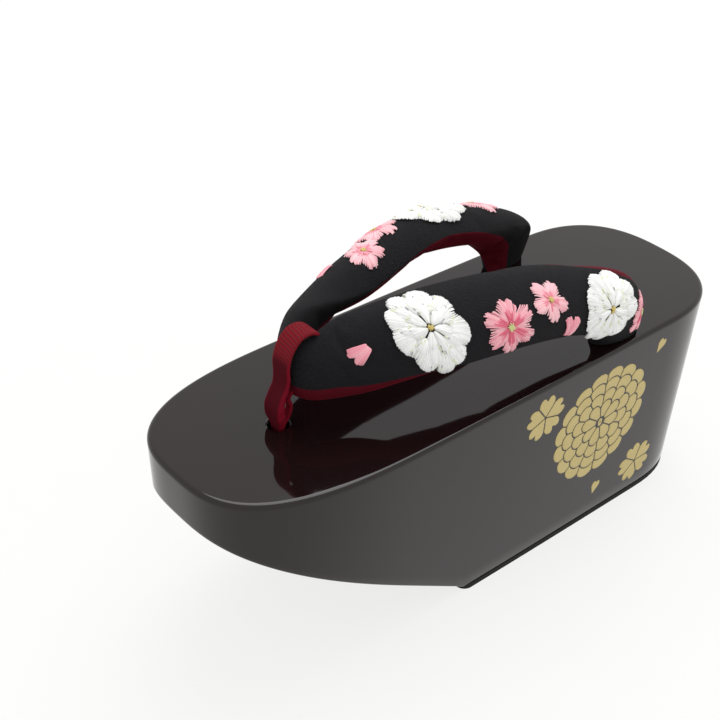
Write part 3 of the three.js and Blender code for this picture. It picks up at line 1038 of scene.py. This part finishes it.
# %% The thread machine
def node_group(name):
    group = bpy.data.node_groups.new(name, "GeometryNodeTree")
    group.interface.new_socket("Geometry", in_out="INPUT", socket_type="NodeSocketGeometry")
    group.interface.new_socket("Geometry", in_out="OUTPUT", socket_type="NodeSocketGeometry")
    return group


def named_input(group, name, kind):
    return group.interface.new_socket(name, in_out="INPUT", socket_type="NodeSocket" + kind)


def thread_group():
    """Chains of edges become round threads, thinner where 'plump' is small."""
    group = node_group("threads")
    inputs = {
        "radius": named_input(group, "Thread radius", "Float"),
        "sides": named_input(group, "Sides", "Int"),
        "finish": named_input(group, "Finish", "Material"),
    }
    add, link = group.nodes.new, group.links.new
    start, end = add("NodeGroupInput"), add("NodeGroupOutput")
    curve, swell = add("GeometryNodeMeshToCurve"), add("GeometryNodeSetCurveRadius")
    plump = add("GeometryNodeInputNamedAttribute")
    plump.data_type = "FLOAT"
    plump.inputs["Name"].default_value = "plump"
    ring, sweep = add("GeometryNodeCurvePrimitiveCircle"), add("GeometryNodeCurveToMesh")
    sweep.inputs["Fill Caps"].default_value = True
    real, paint = add("GeometryNodeRealizeInstances"), add("GeometryNodeSetMaterial")
    link(start.outputs["Geometry"], curve.inputs["Mesh"])
    link(curve.outputs["Curve"], swell.inputs["Curve"])
    link(plump.outputs["Attribute"], swell.inputs["Radius"])
    link(start.outputs["Sides"], ring.inputs["Resolution"])
    link(start.outputs["Thread radius"], ring.inputs["Radius"])
    link(swell.outputs["Curve"], sweep.inputs["Curve"])
    link(ring.outputs["Curve"], sweep.inputs["Profile Curve"])
    link(sweep.outputs["Mesh"], real.inputs["Geometry"])
    link(real.outputs["Geometry"], paint.inputs["Geometry"])
    link(start.outputs["Finish"], paint.inputs["Material"])
    link(paint.outputs["Geometry"], end.inputs["Geometry"])
    return group, inputs


THREADS, THREAD_INPUTS = thread_group()


def run_nodes(piece, group, inputs, values):
    """Adds the modifier, sets its inputs by identifier, and keeps the result as a mesh."""
    nodes = piece.modifiers.new(group.name, "NODES")
    nodes.node_group = group
    for key, value in values.items():
        nodes[inputs[key].identifier] = value
    return applied(piece)


THREAD_SIDES = 5
DIVE = 0.3            # how far a stitch's ends go down into the cloth


class Embroidery:
    """Stitches of one silk. Each is a chain of points with a plumpness, and one shade."""

    CHAIN = ((0.0, 0.45), (0.1, 0.85), (0.35, 1.0), (0.65, 1.0), (0.9, 0.85), (1.0, 0.45))

    def __init__(self, name, finish, radius):
        self.name, self.finish, self.radius = name, finish, radius
        self.flat = []
        self.points, self.edges, self.plump, self.shade = [], [], [], []

    def stitch(self, start, end, out, shade, arch=0.22):
        """One stitch between two flat places, this far out of the cloth at its middle."""
        chain = []
        for share, plump in self.CHAIN:
            a = start[0] + (end[0] - start[0]) * share
            b = start[1] + (end[1] - start[1]) * share
            lift = out + arch * math.sin(math.pi * share) ** 0.7
            if share in (0.0, 1.0):
                lift -= DIVE
            chain.append((a, b, lift, plump, shade))
        self.flat.append(chain)

    def sew(self, name, share, angle):
        """Lays what was drawn since the last call on a strap, round a centre."""
        for chain in self.flat:
            first = len(self.points)
            self.points.extend(lay(name, share, angle, [place[:3] for place in chain]))
            self.edges.extend((first + k, first + k + 1) for k in range(len(chain) - 1))
            self.plump.extend(place[3] for place in chain)
            self.shade.extend(place[4] for place in chain)
        self.flat = []

    def made(self):
        mesh = bpy.data.meshes.new(self.name)
        mesh.from_pydata([tuple(v * MM for v in p) for p in self.points], self.edges, [])
        for label, values in (("plump", self.plump), ("shade", self.shade)):
            mesh.attributes.new(label, "FLOAT", "POINT").data.foreach_set("value", values)
        piece = bpy.data.objects.new(self.name, mesh)
        bpy.context.scene.collection.objects.link(piece)
        piece = run_nodes(piece, THREADS, THREAD_INPUTS, {
            "radius": self.radius * MM, "sides": THREAD_SIDES, "finish": self.finish})
        piece.data.shade_smooth()
        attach(piece, "root")
        return piece


white_threads = Embroidery("white_embroidery", WHITE_SILK, 0.27)
pink_threads = Embroidery("pink_embroidery", PINK_SILK, 0.25)
yellow_threads = Embroidery("yellow_embroidery", YELLOW_SILK, 0.22)

# %% [markdown]
# ### One petal
# A petal is a fan of stitches from its root to its rim. The rim is rounded, or notched as a
# cherry petal's is, and no two stitches end quite level, which a fixed seed repeats each time.

# %% Draw petals and flowers
def turned(x, y, angle):
    """A flat place, given as outward and sideways from a heading, in degrees."""
    c, s = math.cos(math.radians(angle)), math.sin(math.radians(angle))
    return (x * c - y * s, x * s + y * c)


def fan(threads, draw, heading, root, rim, widths, count, out, shade, rounding=0.15, notch=0.0,
        jitter=0.3, squash=1.0, puff=0.0):
    """Fills one petal with stitches. `shade` gives the colour at a share across the petal."""
    for k in range(count):
        side = 2 * (k + 0.5) / count - 1
        reach = rim * (1 - rounding * abs(side) ** 2.4) - notch * math.exp(-(side / 0.22) ** 2)
        reach += draw.uniform(-jitter, jitter)
        begin = root + draw.uniform(-jitter, jitter) * 0.6
        start = turned(begin, side * widths[0] / 2, heading)
        end = turned(reach, side * widths[1] / 2, heading)
        threads.stitch(
            (start[0] * squash, start[1]), (end[0] * squash, end[1]),
            out + puff * (1 - side ** 2) + draw.uniform(0, 0.12), shade(side, draw))


def white_with_edge_shade(side, draw):
    # A random tone, plus painted shade: the threads along a petal's edges turn greyer, where petals
    # meet.
    return draw.uniform(0, 0.26) + (0.22 if abs(side) > 0.8 else 0)


def double_cherry(draw, size, turn, squash=1.0):
    """A white double blossom: rounded outer petals, two inner whorls, flecks and a gold knot."""
    outer, inner, knot = 9, 7, 16
    for k in range(outer):
        heading = turn + 360 * k / outer + draw.uniform(-4, 4)
        fan(white_threads, draw, heading, size * 0.5, size * draw.uniform(0.94, 1.0),
            (size * 0.36, size * 0.74), 27, 0.15, white_with_edge_shade, rounding=0.3, squash=squash, puff=0.7)
    for k in range(outer):
        heading = turn + 360 * (k + 0.5) / outer + draw.uniform(-8, 8)
        fan(white_threads, draw, heading, size * 0.3, size * draw.uniform(0.68, 0.76),
            (size * 0.22, size * 0.52), 18, 0.4, white_with_edge_shade, rounding=0.3, squash=squash, puff=0.6)
    for k in range(inner):
        heading = turn + 12 + 360 * k / inner + draw.uniform(-6, 6)
        fan(white_threads, draw, heading, size * 0.1, size * draw.uniform(0.44, 0.54),
            (size * 0.05, size * 0.32), 13, 0.65, white_with_edge_shade, rounding=0.3, squash=squash, puff=0.7)
    for _ in range(int(9 * size)):
        heading, place = draw.uniform(0, 360), size * draw.uniform(0.3, 0.8)
        spot = turned(place, 0, heading)
        tip = turned(place + draw.uniform(0.5, 1.3), draw.uniform(-0.6, 0.6), heading)
        white_threads.stitch(
            (spot[0] * squash, spot[1]), (tip[0] * squash, tip[1]),
            1.25 if place < size * 0.5 else 0.95, draw.choice((0.5, 0.55, 0.6, 1.0)), arch=0.1)
    for k in range(knot):
        heading = draw.uniform(0, 360)
        start = turned(draw.uniform(0, 0.3), 0, heading)
        end = turned(draw.uniform(0.6, 1.05), 0, heading)
        yellow_threads.stitch(start, end, 0.95 + 0.04 * k, 0.5, arch=0.3)


def single_cherry(draw, size, turn, petals, pale):
    """A pink blossom of separate notched petals, with rose streaks and a small pale eye."""
    base, rose = (0.02, 0.4) if pale else (0.16, 0.78)
    spread = size * (0.7 if petals == 6 else 0.78)
    for k in range(petals):
        heading = turn + 360 * k / petals + draw.uniform(-3, 3)
        length = size * draw.uniform(0.93, 1.03)
        fan(pink_threads, draw, heading, size * 0.12, length, (size * 0.24, spread), 15, 0.15,
            lambda side, draw: base + draw.uniform(-0.12, 0.22), rounding=0.42, notch=size * 0.13,
            jitter=size * 0.045, puff=0.3)
        fan(pink_threads, draw, heading, size * 0.1, size * (0.42 if pale else 0.62),
            (size * 0.12, spread * 0.42), 6, 0.55, lambda side, draw: rose + draw.uniform(-0.14, 0.2),
            rounding=0.1, jitter=size * 0.13)
    eye = 10
    for k in range(eye):
        heading = 360 * k / eye + draw.uniform(-12, 12)
        start = turned(draw.uniform(0, 0.3), 0, heading)
        end = turned(size * draw.uniform(0.1, 0.16), 0, heading)
        yellow_threads.stitch(start, end, 0.85, 0.55 if pale else 0.05, arch=0.25)


def loose_petal(draw, length, width, heading):
    """One heart-shaped petal, sewn along its length."""
    fan(pink_threads, draw, heading, -length / 2, length / 2, (width * 0.4, width * 1.1), 17, 0.15,
        lambda side, draw: 0.3 + draw.uniform(-0.12, 0.2), rounding=0.42, notch=length * 0.2,
        jitter=0.2)


# %% [markdown]
# ### Where the flowers go
# Each flower has a share along the strap, from the thong at 0 to the rear hole at 1, and an
# angle round the section, from the upper seam at 0 over the crown at 90 to the lower seam at 180.
# Every flower has its own seed, so that one can change without the others.

# %% Sew the flowers
BLOSSOMS = [
    ("outer", 0.307, 84, "petal", {"length": 7.5, "width": 6.5, "heading": 160}),
    ("outer", 0.427, 102, "double", {"size": 17.8, "turn": 8, "squash": 0.72}),
    ("outer", 0.548, 134, "single", {"size": 10.8, "turn": 25, "petals": 6, "pale": False}),
    ("outer", 0.629, 107, "single", {"size": 8.0, "turn": 78, "petals": 5, "pale": True}),
    ("outer", 0.686, 152, "petal", {"length": 8.0, "width": 7.0, "heading": 265}),
    ("outer", 0.795, 111, "double", {"size": 15.0, "turn": 20, "squash": 0.86}),
    ("outer", 0.920, 48, "single", {"size": 8.0, "turn": 0, "petals": 6, "pale": False}),
    ("inner", 0.407, 104, "petal", {"length": 8.0, "width": 7.0, "heading": 170}),
    ("inner", 0.471, 68, "single", {"size": 8.2, "turn": 10, "petals": 6, "pale": True}),
    ("inner", 0.521, 100, "single", {"size": 9.0, "turn": 40, "petals": 6, "pale": True}),
    ("inner", 0.610, 96, "double", {"size": 15.0, "turn": 0}),
    ("inner", 0.715, 88, "single", {"size": 9.5, "turn": 30, "petals": 6, "pale": True}),
]
MAKERS = {"petal": loose_petal, "double": double_cherry, "single": single_cherry}

SILKS = (white_threads, pink_threads, yellow_threads)

for seed, (strap, share, angle, kind, sizes) in enumerate(BLOSSOMS, 1):
    MAKERS[kind](random.Random(seed), **sizes)
    for threads in SILKS:
        threads.sew(strap, share, angle)
for threads in SILKS:
    sewn = threads.made()
    print(sewn.name, "triangles:", sum(len(p.vertices) - 2 for p in sewn.data.polygons))

# %% [markdown]
# ## Gold print
# The outer wall carries a gold chrysanthemum, two small cherry blossoms and two loose petals. On
# the real object they are powder on lacquer, thinner than paper. Each petal is a thin closed
# slab, drawn flat and then bent round the wall, so that it shows as a shape and not only as
# colour.

# %% Wrap flat slabs on the wall
PRINT_OUT, PRINT_IN = 0.07, -0.05      # a slab's two faces, from the wall
WALL_LINE = length_along(SIDE)
WALL_OUTWARD = OUTWARD[:len(SIDE)]


def on_wall(distance, height, out):
    """A place on the outer wall: along the plan from the toe tip, above the floor, out of it."""
    spot = np.array([np.interp(distance, WALL_LINE, SIDE[:, axis]) for axis in (0, 1)])
    normal = np.array([np.interp(distance, WALL_LINE, WALL_OUTWARD[:, axis]) for axis in (0, 1)])
    normal /= np.linalg.norm(normal)
    spot += normal * (out - WALL_LEAN * (TOP - height))
    return (spot[0], spot[1], height)


def slab(shell, grid):
    """A thin closed slab from a grid of flat places."""
    rows, columns = grid.shape[:2]
    faces = {}
    for level, out in (("top", PRINT_OUT), ("bottom", PRINT_IN)):
        faces[level] = [shell.ring([(x, y, out) for x, y in row]) for row in grid]
        for r in range(rows - 1):
            for c in range(columns - 1):
                shell.face((faces[level][r][c], faces[level][r][c + 1],
                            faces[level][r + 1][c + 1], faces[level][r + 1][c]))
    rim = [(0, c) for c in range(columns)]
    rim += [(r, columns - 1) for r in range(1, rows)]
    rim += [(rows - 1, c) for c in range(columns - 2, -1, -1)]
    rim += [(r, 0) for r in range(rows - 2, 0, -1)]
    for (r0, c0), (r1, c1) in zip(rim, rim[1:] + rim[:1]):
        shell.face((faces["top"][r0][c0], faces["top"][r1][c1],
                    faces["bottom"][r1][c1], faces["bottom"][r0][c0]))


def wrapped(piece, distance, height, turn=0.0):
    """Bends a flat piece, drawn in metres round its own centre, onto the wall."""
    for vertex in piece.data.vertices:
        x, y = turned(vertex.co.x / MM, vertex.co.y / MM, turn)
        place = on_wall(distance + x, height + y, vertex.co.z / MM)
        vertex.co = Vector(place) * MM
    return piece


# %% [markdown]
# ### The chrysanthemum
# Four whorls of petals lie one outside the other. The inner edge of each petal follows the
# scalloped rim of the whorl before it, a line's width away, so that the dark lacquer shows
# between them as a drawn outline.

# %% Draw the chrysanthemum
# Each whorl: petals, its outer radius, how deep the dips between petals are, and a turn.
WHORLS = [(8, 10.2, 4.2, 10), (12, 15.4, 3.0, 4), (14, 20.4, 3.0, 16), (16, 25.0, 3.2, 2)]
LINE = 0.55           # the dark line left between petals
EYE_RADIUS, EYE_RINGS = 1.54, 4
ROOT_RADIUS = 2.6     # where the first whorl starts


def whorl_rim(whorl, angle):
    """The scalloped outer radius of a whorl at an angle in degrees."""
    petals, radius, dip, turn = whorl
    pitch = 360 / petals
    side = 2 * (((angle - turn) / pitch) % 1) - 1
    scallop = dip * (1 - math.sqrt(1 - (0.93 * side) ** 2))
    unevenness = 0.5 * math.sin(math.radians(3 * angle))
    return radius - scallop + unevenness


def chrysanthemum():
    shell = Shell()
    radii = [EYE_RADIUS * r / EYE_RINGS for r in range(1, EYE_RINGS + 1)]
    eye = np.array([[turned(radius, 0, angle) for angle in range(0, 361, 45)] for radius in radii])
    slab(shell, eye * (0.75, 1.25))
    for number, whorl in enumerate(WHORLS):
        petals, _, _, turn = whorl
        pitch = 360 / petals
        for petal in range(petals):
            middle = turn + pitch * (petal + 0.5)
            grid = []
            for r in np.linspace(0, 1, 6):
                row = []
                for side in np.linspace(-1, 1, 9):
                    angle = middle + side * pitch / 2
                    low = whorl_rim(WHORLS[number - 1], angle) + LINE if number else ROOT_RADIUS
                    high = max(whorl_rim(whorl, angle), low + 0.3)
                    radius = low + (high - low) * r
                    edge = math.degrees(LINE / 2 / radius)
                    row.append(turned(radius, 0, middle + side * (pitch / 2 - edge)))
                grid.append(row)
            slab(shell, np.array(grid))
    return shell.made("gold_chrysanthemum", [GOLD])


# %% [markdown]
# ### The cherry blossoms
# A blossom is one petal, turned round its root as often as it has petals, which is what Geometry
# Nodes do best: instances on points, each turned by its share of a full circle.

# %% Ring of petals with Geometry Nodes
def petal_ring_group():
    """Copies one petal round its root."""
    group = node_group("petal_ring")
    inputs = {
        "count": named_input(group, "Petals", "Int"),
        "finish": named_input(group, "Finish", "Material"),
    }
    add, link = group.nodes.new, group.links.new
    start, end = add("NodeGroupInput"), add("NodeGroupOutput")
    points, place = add("GeometryNodePoints"), add("GeometryNodeInstanceOnPoints")
    index, share, turn = add("GeometryNodeInputIndex"), add("ShaderNodeMath"), add("ShaderNodeMath")
    share.operation, turn.operation = "DIVIDE", "MULTIPLY"
    turn.inputs[1].default_value = 2 * math.pi
    spin = add("ShaderNodeCombineXYZ")
    real, paint = add("GeometryNodeRealizeInstances"), add("GeometryNodeSetMaterial")
    link(start.outputs["Petals"], points.inputs["Count"])
    link(index.outputs["Index"], share.inputs[0])
    link(start.outputs["Petals"], share.inputs[1])
    link(share.outputs[0], turn.inputs[0])
    link(turn.outputs[0], spin.inputs["Z"])
    link(points.outputs["Points"], place.inputs["Points"])
    link(start.outputs["Geometry"], place.inputs["Instance"])
    link(spin.outputs["Vector"], place.inputs["Rotation"])
    link(place.outputs["Instances"], real.inputs["Geometry"])
    link(real.outputs["Geometry"], paint.inputs["Geometry"])
    link(start.outputs["Finish"], paint.inputs["Material"])
    link(paint.outputs["Geometry"], end.inputs["Geometry"])
    return group, inputs


PETAL_RING, PETAL_RING_INPUTS = petal_ring_group()


def flat_petal(name, root, rim, spread, notch):
    """One notched cherry petal as a slab, pointing along +X. `spread` is its half angle."""
    grid = []
    for r in np.linspace(0, 1, 8):
        row = []
        for side in np.linspace(-1, 1, 11):
            reach = rim * (1 - 0.3 * abs(side) ** 3) - notch * max(0, 1 - abs(side) / 0.28)
            radius = root + (reach - root) * r
            edge = math.degrees(LINE / 2 / max(radius, 0.8))
            row.append(turned(radius, 0, side * (spread - edge)))
        grid.append(row)
    shell = Shell()
    slab(shell, np.array(grid))
    return shell.made(name, [GOLD])


# Each row: name, distance from the toe tip, height, petals, radius, turn.
PRINTS = [
    ("gold_blossom_front", 152.8, 68.5, 5, 9.8, 20),
    ("gold_blossom_rear", 214.6, 16.5, 5, 9.8, 38),
]
# Each row: name, distance from the toe tip, height, turn.
LOOSE_PRINTS = [("gold_petal_high", 214.6, 73.5, 60), ("gold_petal_low", 191.2, 15.0, 75)]
PETAL_ROOT, LOOSE_RADIUS, LOOSE_MIDDLE = 0.7, 7.0, 3.8

prints = [wrapped(chrysanthemum(), 185.8, 50.5)]
for name, distance, height, count, size, turn in PRINTS:
    blossom = flat_petal(name, PETAL_ROOT, size, 36, 2.4)
    blossom = run_nodes(blossom, PETAL_RING, PETAL_RING_INPUTS, {"count": count, "finish": GOLD})
    prints.append(wrapped(blossom, distance, height, turn))
for name, distance, height, turn in LOOSE_PRINTS:
    petal = flat_petal(name, PETAL_ROOT, LOOSE_RADIUS, 30, 1.0)
    for vertex in petal.data.vertices:
        vertex.co.x -= LOOSE_MIDDLE * MM
    prints.append(wrapped(petal, distance, height, turn))
for piece in prints:
    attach(piece, "root")
print("gold faces:", sum(len(piece.data.polygons) for piece in prints))

# %% [markdown]
# ## Floor and light
# A white table and a white room. The lacquer mirrors them, so they do most of the work. One large
# soft lamp above the far side lays a faint shadow under the toe.

# %% Light the scene
def paper_finish():
    """White paper that shines a little of its own, so that its shadows stay pale."""
    finish = Finish(
        "paper", Roughness=0.9, Emission_Strength=0.79, Emission_Color=(1, 1, 0.99, 1))
    fibre = finish.noise(finish.object_place(), 30.0, 2.0)
    finish.feed("Base Color", finish.blend(
        fibre, (0.125, 0.125, 0.123, 1), (0.135, 0.135, 0.133, 1)))
    return finish.material


FLOOR_REACH = 3000
FLOOR_CORNERS = ((-1, -1), (1, -1), (1, 1), (-1, 1))
floor_shell = Shell()
floor_shell.face(floor_shell.ring([(x * FLOOR_REACH, y * FLOOR_REACH, 0) for x, y in FLOOR_CORNERS]))
floor = floor_shell.made("floor", [paper_finish()])

world = bpy.data.worlds.new("room")
world.use_nodes = True
background = world.node_tree.nodes["Background"]
background.inputs["Color"].default_value = (1, 1, 1, 1)
background.inputs["Strength"].default_value = 1.02
bpy.context.scene.world = world


def soft_light(name, place, aim, size, power):
    data = bpy.data.lights.new(name, "AREA")
    data.shape = "DISK"
    data.size = size
    data.energy = power
    lamp = bpy.data.objects.new(name, data)
    lamp.location = place
    lamp.rotation_mode = "QUATERNION"
    lamp.rotation_quaternion = (Vector(aim) - Vector(place)).to_track_quat("-Z", "Y")
    bpy.context.scene.collection.objects.link(lamp)


LAMP_PLACE, LAMP_SIZE, LAMP_POWER = (-0.3, 0.45, 1.25), 1.2, 11     # metres and watts
soft_light("soft_top", LAMP_PLACE, (0, 0, 0), LAMP_SIZE, LAMP_POWER)
print("lamp in watts:", LAMP_POWER)
